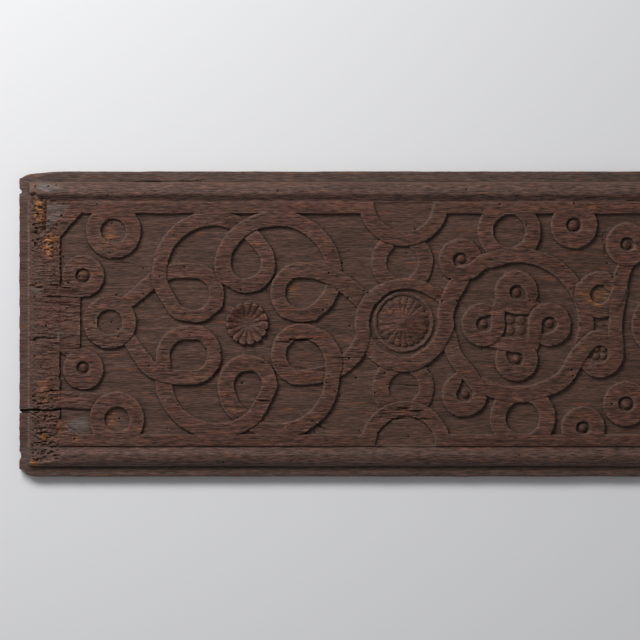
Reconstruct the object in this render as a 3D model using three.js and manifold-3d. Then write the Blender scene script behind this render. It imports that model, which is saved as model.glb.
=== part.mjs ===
// Carved oak panel: one plank lying on its back, carved face up, in millimetres.
// +X runs along the plank, +Y across it, +Z out of the carved face; the underside is at Z = 0.
import * as THREE from 'three';
import * as BufferGeometryUtils from 'three/addons/utils/BufferGeometryUtils.js';
import Module from 'manifold-3d';

const wasm = await Module();
wasm.setup();

// Driving sizes
const LENGTH = 814;
const WIDTH = 398;
const THICKNESS = 28;
const TONGUE_THICKNESS = 14;
const TONGUE_WIDTH = 14;
const TONGUE_LENGTH = 16;
const STRAP_LEVEL = 24.5;
const GROUND_LEVEL = 19;
const QUIRK_LEVEL = 21.5;
const STRAP_HALF = 10;
const UNDER_DROP = 1.6;
const WALL_SLOPE = 0.8;
const HALF_LENGTH = LENGTH / 2;
const HALF_WIDTH = WIDTH / 2;

// How far in from the long edge each line of the moulding lies
const RIDGE = 30;
const QUIRK = 39;
const FILLET_OUTER = 40.5;
const FILLET_INNER = 55.5;

// How far in from the left end the fillet and the wear reach
const LEFT_FILLET_END = 54;
const WORN_END = 66;

// Arc steps in degrees, and the longest straight stride between two arcs
const WIDE_STEP = 15;
const TIGHT_STEP = 26;
const TIGHT_RADIUS = 40;
const LONGEST_STRIDE = 21;

const OAK = new THREE.MeshStandardMaterial({ color: 0x4b322a, roughness: 0.75, metalness: 0 });

// Turns a closed geometry into a solid that can be joined and cut
function solid(geometry) {
  const bare = geometry.index ? geometry.toNonIndexed() : geometry.clone();
  bare.deleteAttribute('normal');
  bare.deleteAttribute('uv');
  const merged = BufferGeometryUtils.mergeVertices(bare, 1e-4);
  const mesh = new wasm.Mesh({
    numProp: 3,
    vertProperties: new Float32Array(merged.attributes.position.array),
    triVerts: new Uint32Array(merged.index.array),
  });
  return new wasm.Manifold(mesh);
}

// Turns a solid back into a plain geometry
function geometryOf(manifold) {
  const mesh = manifold.getMesh();
  const geometry = new THREE.BufferGeometry();
  geometry.setAttribute('position', new THREE.BufferAttribute(new Float32Array(mesh.vertProperties), 3));
  geometry.setIndex(new THREE.BufferAttribute(new Uint32Array(mesh.triVerts), 1));
  return geometry;
}

function meshOf(points, faces) {
  const geometry = new THREE.BufferGeometry();
  const positions = points.flatMap((point) => [point.x, point.y, point.z]);
  geometry.setAttribute('position', new THREE.Float32BufferAttribute(positions, 3));
  geometry.setIndex(faces);
  return geometry;
}

// A closed body swept through sections that have the same number of corners
function bodyOfSections(sections, closed = false) {
  const corners = sections[0].length;
  const count = sections.length;
  const links = closed ? count : count - 1;
  const faces = [];
  for (let i = 0; i < links; i += 1) {
    const here = i * corners;
    const next = ((i + 1) % count) * corners;
    for (let j = 0; j < corners; j += 1) {
      const k = (j + 1) % corners;
      faces.push(here + j, next + k, here + k, here + j, next + j, next + k);
    }
  }
  if (!closed) {
    const last = (count - 1) * corners;
    for (let j = 1; j < corners - 1; j += 1) {
      faces.push(0, j, j + 1);
      faces.push(last, last + j + 1, last + j);
    }
  }
  return meshOf(sections.flat(), faces);
}

// An upright prism of a flat outline between two levels
function prism(shape, bottom, top, steps = 10) {
  const geometry = new THREE.ExtrudeGeometry(shape, {
    depth: top - bottom,
    bevelEnabled: false,
    curveSegments: steps,
  });
  geometry.translate(0, 0, bottom);
  return solid(geometry);
}

function block(x0, x1, y0, y1, z0, z1) {
  const geometry = new THREE.BoxGeometry(x1 - x0, y1 - y0, z1 - z0);
  geometry.translate((x0 + x1) / 2, (y0 + y1) / 2, (z0 + z1) / 2);
  return solid(geometry);
}

// A turned form standing on the ground, from a profile of radius and level pairs
function turned(profile, x, y, segments) {
  const points = profile.map(([radius, level]) => new THREE.Vector2(radius, level));
  const geometry = new THREE.LatheGeometry(points, segments);
  geometry.rotateX(Math.PI / 2);
  geometry.translate(x, y, 0);
  return solid(geometry);
}

// The plank's section as pairs of distance in from the long edge and level:
// tongue, convex roll up to the ridge, steep fall into the quirk, flat fillet, sunk ground
const ROLL_STEPS = 5;
const ROLL_FOOT_LEVEL = 17;
const MOULDING = [
  [0, TONGUE_THICKNESS],
  [TONGUE_WIDTH, TONGUE_THICKNESS],
  ...rollProfile(),
  [RIDGE + 2, THICKNESS - 0.8],
  [QUIRK - 1.5, QUIRK_LEVEL + 0.9],
  [QUIRK, QUIRK_LEVEL],
  [FILLET_OUTER, STRAP_LEVEL],
  [FILLET_INNER, STRAP_LEVEL],
  [FILLET_INNER + WALL_SLOPE, GROUND_LEVEL],
];

// The roll is the quarter of an ellipse that rises from the tongue to the ridge
function rollProfile() {
  const points = [];
  for (let i = 0; i <= ROLL_STEPS; i += 1) {
    const turn = (Math.PI / 2) * (i / ROLL_STEPS);
    const inward = RIDGE - (RIDGE - TONGUE_WIDTH - 0.3) * Math.cos(turn);
    points.push([inward, THREE.MathUtils.lerp(ROLL_FOOT_LEVEL, THICKNESS, Math.sin(turn))]);
  }
  return points;
}

function plankSection() {
  const outline = new THREE.Shape();
  outline.moveTo(-HALF_WIDTH, 0);
  for (const [inward, level] of MOULDING) {
    outline.lineTo(-HALF_WIDTH + inward, level);
  }
  for (const [inward, level] of MOULDING.toReversed()) {
    outline.lineTo(HALF_WIDTH - inward, level);
  }
  outline.lineTo(HALF_WIDTH, 0);
  outline.closePath();
  return outline;
}

function plank() {
  const run = LENGTH - TONGUE_LENGTH;
  const section = new THREE.ExtrudeGeometry(plankSection(), { depth: run, bevelEnabled: false });
  section.rotateX(Math.PI / 2);
  section.rotateZ(Math.PI / 2);
  section.translate(-HALF_LENGTH + TONGUE_LENGTH, 0, 0);
  return solid(section);
}

// The tongue across the left end, its corners worn round, its edge nicked, and split through
const CORNER_WEAR = 7;
const NICK_DEPTH = 3;
const NICKS = [[170, 175], [-177, -167]];
const SPLIT_Y = -115;
const SPLIT_WIDTH = 3.2;

function endTongue() {
  const left = -HALF_LENGTH;
  const right = left + TONGUE_LENGTH + 2;
  const outline = new THREE.Shape();
  outline.moveTo(right, -HALF_WIDTH);
  outline.lineTo(right, HALF_WIDTH);
  outline.lineTo(left + 2 * CORNER_WEAR, HALF_WIDTH);
  outline.quadraticCurveTo(left, HALF_WIDTH, left, HALF_WIDTH - CORNER_WEAR);
  for (const [low, high] of NICKS) {
    outline.lineTo(left, high + 1);
    outline.lineTo(left + NICK_DEPTH, (low + high) / 2);
    outline.lineTo(left, low - 1);
  }
  outline.lineTo(left, -HALF_WIDTH + CORNER_WEAR);
  outline.quadraticCurveTo(left, -HALF_WIDTH, left + 2 * CORNER_WEAR, -HALF_WIDTH);
  outline.closePath();
  return prism(outline, 0, TONGUE_THICKNESS, 4);
}

function split() {
  const outline = new THREE.Shape();
  outline.moveTo(-HALF_LENGTH - 1, SPLIT_Y - SPLIT_WIDTH / 2);
  outline.lineTo(-HALF_LENGTH + TONGUE_LENGTH, SPLIT_Y - SPLIT_WIDTH / 4);
  outline.lineTo(-HALF_LENGTH + TONGUE_LENGTH, SPLIT_Y + SPLIT_WIDTH / 4);
  outline.lineTo(-HALF_LENGTH - 1, SPLIT_Y + SPLIT_WIDTH / 2);
  outline.closePath();
  return prism(outline, -1, TONGUE_THICKNESS + 1);
}

// The left moulding has crumbled away: what is above this uneven surface is gone
const WORN_COLUMNS = 7;
const WORN_ROWS = 30;
const CRUMBLED_LEVEL = 19.5;
const UNWORN_LEVEL = THICKNESS + 2;
const CRUMB_SIZE = 0.8;

// The level of the worn surface, u from the tongue to sound wood and v across the width
function wornLevel(u, v) {
  const rise = THREE.MathUtils.smoothstep(u, 0.15, 1);
  const lump = Math.sin(v * 61 + u * 9) + Math.sin(v * 23 - u * 17 + 1.3) + Math.sin(v * 113 + u * 31);
  return THREE.MathUtils.lerp(CRUMBLED_LEVEL, UNWORN_LEVEL, rise) + CRUMB_SIZE * lump * (1 - rise);
}

// Everything above the worn surface, in slices across the width
function wornAway() {
  const left = -HALF_LENGTH + TONGUE_LENGTH - 0.5;
  const right = -HALF_LENGTH + WORN_END;
  const lid = THICKNESS + 4;
  const slices = [];
  for (let row = 0; row <= WORN_ROWS; row += 1) {
    const v = row / WORN_ROWS;
    const y = THREE.MathUtils.lerp(-HALF_WIDTH + TONGUE_WIDTH, HALF_WIDTH - TONGUE_WIDTH, v);
    const lower = [];
    for (let column = 0; column <= WORN_COLUMNS; column += 1) {
      const u = column / WORN_COLUMNS;
      lower.push(new THREE.Vector3(THREE.MathUtils.lerp(left, right, u), y, wornLevel(u, v)));
    }
    const upper = lower.map((point) => new THREE.Vector3(point.x, y, lid)).reverse();
    slices.push([...lower, ...upper]);
  }
  return solid(bodyOfSlices(slices));
}

// Like bodyOfSections, its two ends closed by quads between the lower and the upper row
function bodyOfSlices(slices) {
  const corners = slices[0].length;
  const open = bodyOfSections(slices, true);
  const faces = Array.from(open.index.array).slice(0, (slices.length - 1) * corners * 6);
  const last = (slices.length - 1) * corners;
  for (let j = 0; j < corners / 2 - 1; j += 1) {
    const across = corners - 1 - j;
    faces.push(j, j + 1, across - 1, j, across - 1, across);
    faces.push(last + j, last + across - 1, last + j + 1, last + j, last + across, last + across - 1);
  }
  return meshOf(slices.flat(), faces);
}

// Straps: each centre line is a run of compass arcs and single marks, joined smoothly.
// A mark's drop is how deep the strap dives there to pass under another.
function bend(x, y, radius, from, to, { half = STRAP_HALF, drop = 0 } = {}) {
  const step = radius < TIGHT_RADIUS ? TIGHT_STEP : WIDE_STEP;
  const count = Math.max(1, Math.round(Math.abs(to - from) / step));
  const stations = [];
  for (let i = 0; i <= count; i += 1) {
    const angle = THREE.MathUtils.degToRad(from + ((to - from) * i) / count);
    const point = new THREE.Vector2(x + radius * Math.cos(angle), y + radius * Math.sin(angle));
    stations.push({ point, half, drop });
  }
  return stations;
}

function mark(x, y, { half = STRAP_HALF, drop = 0 } = {}) {
  return [{ point: new THREE.Vector2(x, y), half, drop }];
}

const UNDER = { drop: UNDER_DROP };

// The strap's body: a low ridge with sloping walls, flat on top
function strapSection(station, across) {
  const top = STRAP_LEVEL - station.drop;
  const bottom = GROUND_LEVEL - 1;
  const corner = (side, level) => {
    const reach = side * (level === top ? station.half : station.half + WALL_SLOPE);
    return new THREE.Vector3(station.point.x + across.x * reach, station.point.y + across.y * reach, level);
  };
  return [corner(1, bottom), corner(-1, bottom), corner(-1, top), corner(1, top)];
}

// Halves each long stride with a point on a smooth curve through its neighbours
function smoothed(stations) {
  const result = [];
  for (let i = 0; i < stations.length - 1; i += 1) {
    const here = stations[i];
    const next = stations[i + 1];
    result.push(here);
    if (here.point.distanceTo(next.point) > LONGEST_STRIDE) {
      const before = stations[Math.max(i - 1, 0)].point;
      const after = stations[Math.min(i + 2, stations.length - 1)].point;
      const inner = here.point.clone().add(next.point).multiplyScalar(9 / 16);
      const outer = before.clone().add(after).multiplyScalar(1 / 16);
      const half = (here.half + next.half) / 2;
      result.push({ point: inner.sub(outer), half, drop: (here.drop + next.drop) / 2, run: next.run });
    }
  }
  result.push(stations.at(-1));
  return result;
}

function sectionsAlong(stations, closed = false) {
  const count = stations.length;
  return stations.map((station, i) => {
    const before = stations[closed ? (i + count - 1) % count : Math.max(i - 1, 0)].point;
    const after = stations[closed ? (i + 1) % count : Math.min(i + 1, count - 1)].point;
    const along = after.clone().sub(before).normalize();
    return strapSection(station, new THREE.Vector2(-along.y, along.x));
  });
}

// A strap that crosses itself is made of runs, each starting at the last station of the one before
function strapOfRuns(...runs) {
  const marked = runs.flatMap((pieces, run) => pieces.flat().map((station) => ({ ...station, run })));
  const stations = smoothed(marked);
  const sections = sectionsAlong(stations);
  return runs.map((_, run) => {
    const first = stations.findIndex((station) => station.run === run);
    const last = stations.findLastIndex((station) => station.run === run);
    return solid(bodyOfSections(sections.slice(Math.max(first - 1, 0), last + 1)));
  });
}

function ringStrap(x, y, radius, half = STRAP_HALF) {
  const stations = bend(x, y, radius, 0, 360, { half }).slice(0, -1);
  return solid(bodyOfSections(sectionsAlong(stations, true), true));
}

// Left roundel: two straps, each weaving through three loops around the small rosette
function leftRoundelStraps() {
  const wide = { half: 11.5 };
  const upper = strapOfRuns(
    [
      mark(-266, 27.5, { half: 9, drop: 1 }),
      mark(-236, 53.3),
      mark(-219, 63.7, UNDER),
      mark(-200, 69, { drop: 1 }),
      bend(-180.5, 38.5, 31, 80, -60),
    ],
    [bend(-180.5, 38.5, 31, -85, -140), bend(-154, 67.5, 69.5, 195, 82)],
    [
      bend(-154, 67.5, 69.5, 66, 50, UNDER),
      bend(-110.5, 78, 30.5, 10, -80),
    ],
    [bend(-110.5, 78, 30.5, -105, -180, wide), bend(-71, 62.5, 75, 152, 30)],
    [
      bend(-71, 62.5, 75, 15, -8, UNDER),
      bend(-39.5, 40, 30.5, -50, -180),
    ],
    [
      bend(-39.5, 40, 30.5, -205, -275),
      mark(5.2, 59.2, { half: 11.5 }),
      mark(20.2, 49.4, { half: 12 }),
      mark(33, 38, { half: 12, drop: 1 }),
      mark(45, 27.5, { half: 12, drop: UNDER_DROP }),
    ],
  );
  const lower = strapOfRuns(
    [
      mark(153, 24.5, { half: 8, drop: UNDER_DROP }),
      mark(138, 39.6, { half: 8.5, drop: 1 }),
      bend(92.5, -2, 53.5, 65, 115, { half: 8 }),
      bend(92.5, -2, 53.5, 135, 195, { half: 9.5 }),
      mark(27.3, -37.7, { half: 12 }),
      mark(3, -57.9, { half: 11.7, drop: UNDER_DROP }),
      mark(-13.7, -64.4, UNDER),
      bend(-38.5, -39.5, 30.5, -100, -180),
    ],
    [bend(-38.5, -39.5, 30.5, -205, -280), bend(-70, -68, 71, 10, -75)],
    [
      bend(-70, -68, 71, -92, -110, UNDER),
      mark(-124.2, -113.1, { half: 11.5 }),
      bend(-109, -78.5, 28.5, 190, 100, wide),
    ],
    [bend(-109, -78.5, 28.5, 75, -10), bend(-149, -69, 70, -45, -150)],
    [
      bend(-149, -69, 70, -165, -182, { half: 11, drop: UNDER_DROP }),
      bend(-180.5, -40, 29, 150, 60),
    ],
    [
      bend(-180.5, -40, 29, 35, -100),
      mark(-225.5, -62.4),
      mark(-241, -50, { half: 11.5 }),
      mark(-262, -21, { half: 9, drop: 1.2 }),
    ],
  );
  return [...upper, ...lower];
}

// Middle strip: the big rosette's ring, a ring above and below it, half discs at the fillets
const HALF_DISC_TOP = { x: 94, y: 160 };
const HALF_DISC_BOTTOM = { x: 97.5, y: -160 };
const HALF_DISC_RADIUS = 39;
const HALF_DISC_LEVEL = 21;
const HALF_DISC_STRAP_RADIUS = 49;

function middleStraps() {
  const outer = HALF_DISC_STRAP_RADIUS;
  const straps = [
    [
      mark(172, 66.5, { half: 12, drop: UNDER_DROP }),
      mark(162.5, 49.4, { half: 12 }),
      mark(154, 33.8, { half: 11.5 }),
      bend(94, 2, 55, 12, -110, { half: 11 }),
      bend(94, 2, 55, -132, -152, UNDER),
    ],
    [bend(HALF_DISC_TOP.x, HALF_DISC_TOP.y, outer, 190, 350)],
    [bend(HALF_DISC_BOTTOM.x, HALF_DISC_BOTTOM.y, outer, 170, 10)],
    [bend(91.5, 80.5, 30, 130, 238, UNDER)],
    [bend(91.5, 80.5, 31, 50, -55, UNDER)],
    [bend(94, -83, 29.5, 122, 232, UNDER)],
    [bend(94, -83, 29.5, 58, -50, UNDER)],
  ];
  return straps.flatMap((pieces) => strapOfRuns(pieces));
}

// Right roundel: a ring whose ends curl into volutes, with four studded volutes inside
const RING = { x: 241, y: -0.5, radius: 90 };
const VOLUTE_RADIUS = 19;
const VOLUTE_HALF = 9.7;

function volute(x, y, turn) {
  const angle = THREE.MathUtils.degToRad(turn);
  const path = [
    mark(31, -22.7, { half: 8, drop: UNDER_DROP }),
    mark(18.5, -20, { half: 9, drop: 0.8 }),
    bend(0, 0, VOLUTE_RADIUS, -80, -335, { half: VOLUTE_HALF }),
    mark(20, -2.5, { half: 8, drop: 0.8 }),
    mark(18.5, -11.5, { half: 6, drop: UNDER_DROP }),
  ].flat();
  for (const station of path) {
    station.point.rotateAround(new THREE.Vector2(), angle).add(new THREE.Vector2(x, y));
  }
  const middle = Math.ceil(path.length / 2);
  return strapOfRuns([path.slice(0, middle)], [path.slice(middle)]);
}

function rightRoundelStraps() {
  const thin = { half: 9.5 };
  return [
    ...strapOfRuns(
      [
        mark(195.5, 96, { half: 8, drop: UNDER_DROP }),
        mark(185, 101.5, { half: 8, drop: 0.8 }),
        bend(168.5, 84, 19.5, 90, 270, thin),
      ],
      [
        mark(183, 69.5, thin),
        bend(RING.x, RING.y, RING.radius, 115, 12),
        bend(RING.x, RING.y, RING.radius, -2, -16, { half: 11, drop: UNDER_DROP }),
      ],
    ),
    ...strapOfRuns(
      [
        bend(RING.x, RING.y, RING.radius, 190, 199, { half: 11, drop: UNDER_DROP }),
        bend(RING.x, RING.y, RING.radius, 209, 226, { half: 10.5 }),
        bend(173.5, -91, 19.5, 30, -80, thin),
      ],
      [
        bend(173.5, -91, 19.5, -110, -215, thin),
        mark(164.5, -69, { half: 6.5, drop: UNDER_DROP }),
      ],
    ),
    ...strapOfRuns(
      [
        mark(193, -78, { half: 9, drop: UNDER_DROP }),
        bend(RING.x, RING.y, RING.radius + 1, 247, 312, { half: 10.5 }),
        mark(319.8, -37.7, { half: 11 }),
        bend(349, -39, 21, 120, 20),
      ],
      [
        bend(349, -39, 21, -5, -110),
        mark(333.5, -54, { half: 9, drop: UNDER_DROP }),
      ],
    ),
    ...volute(240.5, 41, 0),
    ...volute(197.5, 0.5, 90),
    ...volute(240, -45.5, 180),
    ...volute(283, 0.5, 270),
    ringStrap(231, 121, 30.5),
    ringStrap(249, -122, 30.5),
  ];
}

// Right-hand strip: lobes, rings and the start of the next roundel, cut off by the sawn end
function rightStripStraps() {
  return [
    ...strapOfRuns(
      [
        mark(384, 80.5, UNDER),
        mark(377, 63.7),
        mark(374, 44),
        bend(349, 38.5, 21.5, -20, -150, { half: 9.7 }),
      ],
      [
        bend(349, 38.5, 21.5, -175, -290, { half: 9.2 }),
        mark(363, 48, { half: 6, drop: UNDER_DROP }),
      ],
    ),
    ...strapOfRuns([mark(376.5, 44, UNDER), mark(369, 5, { half: 9 }), mark(371, -34, UNDER)]),
    ringStrap(384.5, 103.5, 18.5),
    ringStrap(383.5, -104, 18.5),
    ringStrap(431, -1.5, 32, 9.5),
  ];
}

// Studded lobes that grow out of the fillets, and the worn rings and lobes of the left border
function edgeStraps() {
  return [
    ringStrap(315, 128.5, 19.5, 11),
    ringStrap(327, -135, 18.5),
    ringStrap(-283.5, 121, 26),
    ringStrap(-288.5, 2.5, 25.5, 9.2),
    ringStrap(-279, -124, 26),
    ringStrap(-323, 62.5, 17.5),
    ringStrap(-323, -58.5, 17),
    ...strapOfRuns([
      mark(-302, 57, { half: 9 }),
      mark(-318, 24.5, { half: 9.5 }),
      mark(-320.5, 5, { half: 8 }),
      mark(-319, -14.5, { half: 9 }),
      mark(-305, -49.5, { half: 9 }),
    ]),
    ...strapOfRuns([mark(-379, 114.5, { half: 8 }), mark(-322, 157.5, { half: 9 })]),
    ...strapOfRuns([mark(-379, -114.5, { half: 8 }), mark(-322, -158.5, { half: 9 })]),
  ];
}

// Domed studs, carved in the solid inside their ring recesses
const STUD_SMALL = 6;
const STUD_LARGE = 7.5;
const STUDS = [
  [168.5, 84.5, STUD_SMALL],
  [173.5, -91, STUD_SMALL],
  [240.5, 41, STUD_SMALL],
  [197.5, 0.5, STUD_SMALL],
  [240, -45.5, STUD_SMALL],
  [283, 0.5, STUD_SMALL],
  [327, -135, STUD_SMALL],
  [384, 103.5, STUD_SMALL],
  [315, 128.5, STUD_LARGE],
  [383.5, -104, STUD_LARGE],
  [-323, 62.5, STUD_LARGE],
  [-323, -57, STUD_SMALL],
];

function stud([x, y, radius]) {
  const bottom = GROUND_LEVEL - 1;
  const rise = STRAP_LEVEL - GROUND_LEVEL - 0.5;
  const profile = [[0, bottom], [radius, bottom], [radius, GROUND_LEVEL]];
  for (const angle of [40, 65]) {
    const turn = THREE.MathUtils.degToRad(angle);
    profile.push([radius * Math.cos(turn), GROUND_LEVEL + rise * Math.sin(turn)]);
  }
  profile.push([0, GROUND_LEVEL + rise]);
  return turned(profile, x, y, 12);
}

// A rosette: a fluted disc whose scalloped rim rises to the strap level
function rosette(x, y, radius, petals) {
  const spokes = petals * 2;
  const bottom = GROUND_LEVEL - 1;
  const rings = [
    { reach: 1, level: () => bottom },
    { reach: 1, level: (ridge) => (ridge ? STRAP_LEVEL - 0.4 : STRAP_LEVEL - 1.8) },
    { reach: 0.2, level: () => STRAP_LEVEL - 1.6 },
  ];
  const points = [new THREE.Vector3(x, y, bottom)];
  for (const ring of rings) {
    for (let i = 0; i < spokes; i += 1) {
      const ridge = i % 2 === 0;
      const angle = (i / spokes) * Math.PI * 2;
      const reach = radius * ring.reach * (ridge ? 1 : 0.95);
      const level = ring.level(ridge);
      points.push(new THREE.Vector3(x + reach * Math.cos(angle), y + reach * Math.sin(angle), level));
    }
  }
  points.push(new THREE.Vector3(x, y, STRAP_LEVEL - 2.4));
  const ringStart = (ring) => 1 + ring * spokes;
  const centre = points.length - 1;
  const faces = [];
  for (let i = 0; i < spokes; i += 1) {
    const next = (i + 1) % spokes;
    faces.push(0, ringStart(0) + next, ringStart(0) + i);
    for (let ring = 0; ring < rings.length - 1; ring += 1) {
      const low = ringStart(ring);
      const high = ringStart(ring + 1);
      faces.push(low + i, low + next, high + next, low + i, high + next, high + i);
    }
    faces.push(centre, ringStart(2) + i, ringStart(2) + next);
  }
  return solid(meshOf(points, faces));
}

// The low rim around the big rosette
function rosetteRim(x, y, inner, outer) {
  const bottom = GROUND_LEVEL - 1;
  const top = GROUND_LEVEL + 3;
  return turned([[inner, bottom], [outer, bottom], [outer, top], [inner, top], [inner, bottom]], x, y, 30);
}

// The small quartered flower in the middle of a recess
function quarteredFlower(x, y, radius) {
  const gap = 0.8;
  const petal = radius * 0.42;
  const petals = [];
  for (const sideX of [-1, 1]) {
    for (const sideY of [-1, 1]) {
      const level = GROUND_LEVEL + 2.2;
      const profile = [[0, GROUND_LEVEL - 1], [petal, GROUND_LEVEL - 1], [petal, level - 1], [0, level]];
      petals.push(turned(profile, x + sideX * (petal + gap), y + sideY * (petal + gap), 8));
    }
  }
  return petals;
}

// A sunk half disc: its floor, and what is cut from the fillet above that floor
function halfDiscFloor({ x, y }) {
  const bottom = GROUND_LEVEL - 1;
  const edge = HALF_DISC_RADIUS + 2;
  return turned([[0, bottom], [edge, bottom], [edge, HALF_DISC_LEVEL], [0, HALF_DISC_LEVEL]], x, y, 24);
}

function halfDisc({ x, y }, side) {
  const outline = new THREE.Shape();
  const straightSide = HALF_WIDTH - FILLET_OUTER - 0.6;
  const tilt = Math.asin((Math.abs(y) - straightSide) / HALF_DISC_RADIUS);
  outline.absarc(x, y, HALF_DISC_RADIUS, -side * tilt, Math.PI + side * tilt, side > 0);
  outline.closePath();
  return prism(outline, HALF_DISC_LEVEL, THICKNESS + 1, 16);
}

function carvedPanel() {
  const leftBlock = block(
    -HALF_LENGTH + TONGUE_LENGTH,
    -HALF_LENGTH + LEFT_FILLET_END,
    -HALF_WIDTH + FILLET_OUTER,
    HALF_WIDTH - FILLET_OUTER,
    0,
    STRAP_LEVEL,
  );
  const raised = [
    leftBlock,
    ...leftRoundelStraps(),
    ...middleStraps(),
    ...rightRoundelStraps(),
    ...rightStripStraps(),
    ...edgeStraps(),
    ...STUDS.map(stud),
    rosette(-110, 2.5, 26.5, 16),
    rosette(94, 2.5, 31, 20),
    rosetteRim(94, 2.5, 34.5, 40),
    ...quarteredFlower(239, -1.5, 15),
    ...quarteredFlower(349, -37, 10),
    halfDiscFloor(HALF_DISC_TOP),
    halfDiscFloor(HALF_DISC_BOTTOM),
  ];
  const field = raised.reduce((whole, piece) => whole.add(piece));
  const fieldEdge = HALF_WIDTH - FILLET_INNER + 1;
  const bounds = block(-HALF_LENGTH + TONGUE_LENGTH, HALF_LENGTH, -fieldEdge, fieldEdge, 0, THICKNESS);
  return plank()
    .add(endTongue())
    .add(field.intersect(bounds))
    .subtract(halfDisc(HALF_DISC_TOP, 1))
    .subtract(halfDisc(HALF_DISC_BOTTOM, -1))
    .subtract(wornAway())
    .subtract(split());
}

const panel = new THREE.Mesh(geometryOf(carvedPanel()), OAK);
panel.name = 'carved_panel';

const carvedOakPanel = new THREE.Group();
carvedOakPanel.add(panel);

export default carvedOakPanel;
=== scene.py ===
import math
import bmesh
import bpy
import numpy as np
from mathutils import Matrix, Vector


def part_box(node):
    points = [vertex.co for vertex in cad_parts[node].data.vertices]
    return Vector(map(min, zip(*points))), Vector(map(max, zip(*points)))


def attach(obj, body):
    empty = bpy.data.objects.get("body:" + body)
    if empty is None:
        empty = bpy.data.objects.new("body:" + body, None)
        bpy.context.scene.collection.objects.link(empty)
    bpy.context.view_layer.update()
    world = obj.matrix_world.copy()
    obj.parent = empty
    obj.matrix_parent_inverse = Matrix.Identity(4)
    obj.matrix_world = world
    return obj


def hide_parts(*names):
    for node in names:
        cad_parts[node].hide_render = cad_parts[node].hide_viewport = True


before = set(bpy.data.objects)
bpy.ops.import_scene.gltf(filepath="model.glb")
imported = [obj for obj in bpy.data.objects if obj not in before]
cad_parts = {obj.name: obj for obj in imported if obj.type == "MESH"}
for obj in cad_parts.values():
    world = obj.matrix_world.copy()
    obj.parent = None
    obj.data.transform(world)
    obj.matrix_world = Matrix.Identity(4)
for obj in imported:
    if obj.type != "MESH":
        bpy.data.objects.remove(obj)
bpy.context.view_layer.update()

bpy.ops.object.select_all(action="DESELECT")

# The board: one riven oak plank, carved on its face and thinned to a tongue along its edges.
# The carving is worked out in millimetres as a field of levels over the board's face,
# the way it was cut: ground sunk below the straps, then the years of wear.
low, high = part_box("carved_panel")
HALF_LENGTH = high[0] * 1000
HALF_WIDTH = high[1] * 1000
THICKNESS = high[2] * 1000
TONGUE_LEVEL = 14.0
TONGUE_WIDTH = 14.0
TONGUE_LENGTH = 16.0
STRAP_LEVEL = 24.5
GROUND_LEVEL = 19.0
FIELD_STEP = 0.65

field_x = np.arange(-HALF_LENGTH, HALF_LENGTH + FIELD_STEP, FIELD_STEP)
field_y = np.arange(-HALF_WIDTH, HALF_WIDTH + FIELD_STEP, FIELD_STEP)
X, Y = np.meshgrid(field_x, field_y)
inward = HALF_WIDTH - np.abs(Y)
from_left = X + HALF_LENGTH


def ease(low_edge, high_edge, value):
    t = np.clip((value - low_edge) / (high_edge - low_edge), 0, 1)
    return t * t * (3 - 2 * t)


def grain_noise(length, width, seed, x=X, y=Y):
    """Smooth random values from -1 to 1 whose patches are length along the grain and width across it."""
    across = (x + HALF_LENGTH + 20) / length
    up = (y + HALF_WIDTH + 20) / width
    columns = int(across.max()) + 3
    rows = int(up.max()) + 3
    table = np.random.default_rng(seed).uniform(-1, 1, (rows, columns))
    column, row = across.astype(int), up.astype(int)
    u, v = ease(0, 1, across - column), ease(0, 1, up - row)
    lower = table[row, column] * (1 - u) + table[row, column + 1] * u
    upper = table[row + 1, column] * (1 - u) + table[row + 1, column + 1] * u
    return lower * (1 - v) + upper * v


def sample(field, x, y):
    """The field's values at points anywhere on the board."""
    column = np.clip((x + HALF_LENGTH) / FIELD_STEP, 0, field.shape[1] - 1.001)
    row = np.clip((y + HALF_WIDTH) / FIELD_STEP, 0, field.shape[0] - 1.001)
    i, j = column.astype(int), row.astype(int)
    u, v = column - i, row - j
    lower = field[j, i] * (1 - u) + field[j, i + 1] * u
    upper = field[j + 1, i] * (1 - u) + field[j + 1, i + 1] * u
    return lower * (1 - v) + upper * v


def softened(field, radius):
    """The field blurred by three box averages, for the hollows and arrises that the wear marks, painted shade and
    painted highlight follow.
    """
    half = max(1, round(radius / FIELD_STEP))
    span = 2 * half + 1
    result = field
    for _ in range(3):
        for axis in (0, 1):
            pad = [(0, 0), (0, 0)]
            pad[axis] = (half + 1, half)
            total = np.cumsum(np.pad(result, pad, mode="edge"), axis=axis)
            ahead = total[span:] if axis == 0 else total[:, span:]
            behind = total[:-span] if axis == 0 else total[:, :-span]
            result = (ahead - behind) / span
    return result


# The ground: sunk about 5.5 mm by gouge and left with the tool's shallow hollows along the grain.
levels = GROUND_LEVEL + 0.20 * grain_noise(24, 7, 1) + 0.14 * grain_noise(9, 2.6, 2)

# The straps: flat bands left standing, 20 mm wide, that weave over and under each other.
# Each centre line is drawn with compass arcs and single marks; a strap that crosses itself
# is cut in runs, and sinks where another passes over it. Its edge breaks along the fibres.
STRAP_HALF = 10.0
UNDER = 1.8
WALL = 0.65
EDGE_CUT = 0.9
HAND_WOBBLE = 0.5
wobbly_x = X + HAND_WOBBLE * grain_noise(15, 15, 3)
wobbly_y = Y + HAND_WOBBLE * grain_noise(15, 15, 5)
broken_edge = 0.5 * grain_noise(11, 1.7, 4) + 0.5 * ease(0.3, 0.9, grain_noise(9, 1.5, 34))
strap_skin = 0.16 * grain_noise(13, 2.4, 6) + 0.12 * grain_noise(5, 1.4, 7)


def bend(x, y, radius, start, end, half=STRAP_HALF, sink=0.0):
    count = max(1, round(abs(end - start) / 15))
    stations = []
    for i in range(count + 1):
        angle = math.radians(start + (end - start) * i / count)
        stations.append((x + radius * math.cos(angle), y + radius * math.sin(angle), half, sink))
    return stations


def mark(x, y, half=STRAP_HALF, sink=0.0):
    return [(x, y, half, sink)]


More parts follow.
